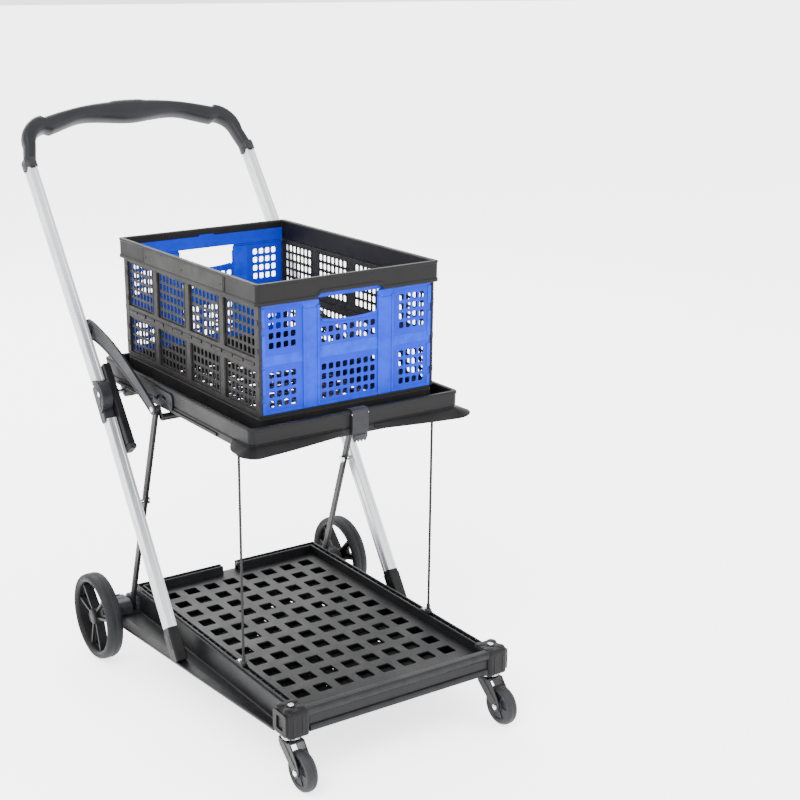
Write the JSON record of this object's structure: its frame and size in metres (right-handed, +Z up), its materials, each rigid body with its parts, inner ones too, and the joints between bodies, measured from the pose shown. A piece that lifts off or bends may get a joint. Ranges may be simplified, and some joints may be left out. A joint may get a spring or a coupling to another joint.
{
  "type": "folding platform cart",
  "caption": "Two-deck folding cart: perforated base on two wheels and two casters, scissor side frames, tray with collapsible crate, push handle.",
  "frame": {"origin": "bottom centre of the cart's bounding box, on the floor", "axes": "+X to the cart's right seen from the casters' end, +Y towards the push handle, +Z up"},
  "size_m": [0.625, 1.1104, 1.0774],
  "materials": {
    "black_plastic": "satin",
    "grey_plastic": "satin",
    "blue_plastic": "satin",
    "rubber": "matte",
    "aluminium": "satin",
    "black_steel": "satin",
    "bright_steel": "polished",
    "cord": "matte"
  },
  "bodies": {
    "base": {"base_platform": "black_plastic", "side_channel_left": "black_plastic", "side_channel_right": "black_plastic", "corner_block_left": "black_plastic", "corner_block_right": "black_plastic", "corner_screw_left": "bright_steel", "corner_screw_right": "bright_steel", "axle_bracket_left": "grey_plastic", "axle_bracket_right": "grey_plastic", "rear_axle": "bright_steel", "caster_race_left": "bright_steel", "caster_race_right": "bright_steel", "rope_clip_left": "black_steel", "rope_clip_right": "black_steel", "rope_left": "cord", "rope_right": "cord"},
    "wheel_left": {"rear_rim_left": "black_plastic", "rear_tyre_left": "rubber"},
    "wheel_right": {"rear_rim_right": "black_plastic", "rear_tyre_right": "rubber"},
    "caster_left": {"caster_fork_left": "black_steel", "caster_bolt_left": "bright_steel"},
    "caster_right": {"caster_fork_right": "black_steel", "caster_bolt_right": "bright_steel"},
    "caster_wheel_left": {"caster_hub_left": "grey_plastic", "caster_tyre_left": "rubber"},
    "caster_wheel_right": {"caster_hub_right": "grey_plastic", "caster_tyre_right": "rubber"},
    "struts": {"strut_left": "black_steel", "strut_right": "black_steel", "strut_cross_bar": "black_steel", "scissor_pin_left": "bright_steel", "scissor_pin_right": "bright_steel"},
    "legs": {"leg_tube_left": "aluminium", "leg_tube_right": "aluminium", "foot_cap_left": "black_plastic", "foot_cap_right": "black_plastic", "knuckle_left": "grey_plastic", "knuckle_right": "grey_plastic", "knuckle_pin_left": "bright_steel", "knuckle_pin_right": "bright_steel"},
    "handle": {"handle_tube_left": "aluminium", "handle_tube_right": "aluminium", "handle_grip": "black_plastic", "handle_channel_left": "black_plastic", "handle_channel_right": "black_plastic", "stand_foot_left": "rubber", "stand_foot_right": "rubber"},
    "arms": {"arm_left": "grey_plastic", "arm_right": "grey_plastic"},
    "tray": {"tray": "black_plastic", "tray_hinge_left": "black_plastic", "tray_hinge_right": "black_plastic"},
    "latch": {"tray_latch": "grey_plastic"},
    "crate": {"crate_base": "black_plastic", "crate_rim": "black_plastic", "crate_side_left": "black_plastic", "crate_side_right": "black_plastic"},
    "end_front": {"crate_end_front": "blue_plastic"},
    "end_rear": {"crate_end_rear": "blue_plastic"}
  },
  "joints": [
    {"name": "fold", "type": "hinge", "parent": "base", "child": "struts", "pos_m": [0, 0.12161, 0.108], "axis": [1, 0, 0], "range_deg": [0, 62], "deforming": ["rope_left", "rope_right"]},
    {"name": "leg_scissor", "type": "hinge", "parent": "struts", "child": "legs", "pos_m": [0, 0.0377, 0.36228], "axis": [1, 0, 0], "range_deg": [-111.94, 0]},
    {"name": "tray_level", "type": "hinge", "parent": "legs", "child": "tray", "pos_m": [0, 0.14546, 0.55704], "axis": [1, 0, 0], "range_deg": [0, 49.94]},
    {"name": "handle_fold", "type": "hinge", "parent": "legs", "child": "handle", "pos_m": [0, 0.14546, 0.55704], "axis": [1, 0, 0], "range_deg": [0, 174.54]},
    {"name": "arm_swing", "type": "hinge", "parent": "struts", "child": "arms", "pos_m": [0, -0.02969, 0.5665], "axis": [1, 0, 0], "range_deg": [-75.88, 0]},
    {"name": "latch_swing", "type": "hinge", "parent": "tray", "child": "latch", "pos_m": [0, -0.35069, 0.6117], "axis": [1, 0, 0], "range_deg": [-60, 0]},
    {"name": "crate_lift", "type": "slide", "parent": "tray", "child": "crate", "axis": [0, 0, 1], "range_m": [0, 0.25]},
    {"name": "crate_front_fold", "type": "hinge", "parent": "crate", "child": "end_front", "pos_m": [0, -0.32819, 0.8092], "axis": [1, 0, 0], "range_deg": [0, 88]},
    {"name": "crate_rear_fold", "type": "hinge", "parent": "crate", "child": "end_rear", "pos_m": [0, 0.19081, 0.8092], "axis": [1, 0, 0], "range_deg": [-88, 0]},
    {"name": "rear_wheel_left", "type": "hinge", "parent": "base", "child": "wheel_left", "pos_m": [0, 0.15131, 0.089], "axis": [1, 0, 0], "continuous": true},
    {"name": "caster_swivel_left", "type": "hinge", "parent": "base", "child": "caster_left", "pos_m": [-0.218, -0.47969, 0.06], "axis": [0, 0, 1], "continuous": true},
    {"name": "caster_roll_left", "type": "hinge", "parent": "caster_left", "child": "caster_wheel_left", "pos_m": [-0.218, -0.51769, 0.0375], "axis": [1, 0, 0], "continuous": true},
    {"name": "rear_wheel_right", "type": "hinge", "parent": "base", "child": "wheel_right", "pos_m": [0, 0.15131, 0.089], "axis": [1, 0, 0], "continuous": true},
    {"name": "caster_swivel_right", "type": "hinge", "parent": "base", "child": "caster_right", "pos_m": [0.218, -0.47969, 0.06], "axis": [0, 0, 1], "continuous": true},
    {"name": "caster_roll_right", "type": "hinge", "parent": "caster_right", "child": "caster_wheel_right", "pos_m": [0.218, -0.51769, 0.0375], "axis": [1, 0, 0], "continuous": true}
  ],
  "couplings": [
    {"joint": "leg_scissor", "follows": "fold", "ratio": -1.8047},
    {"joint": "tray_level", "follows": "fold", "ratio": 0.8047},
    {"joint": "handle_fold", "follows": "fold", "ratio": 2.8144},
    {"joint": "arm_swing", "follows": "fold", "ratio": -1.2231}
  ]
}
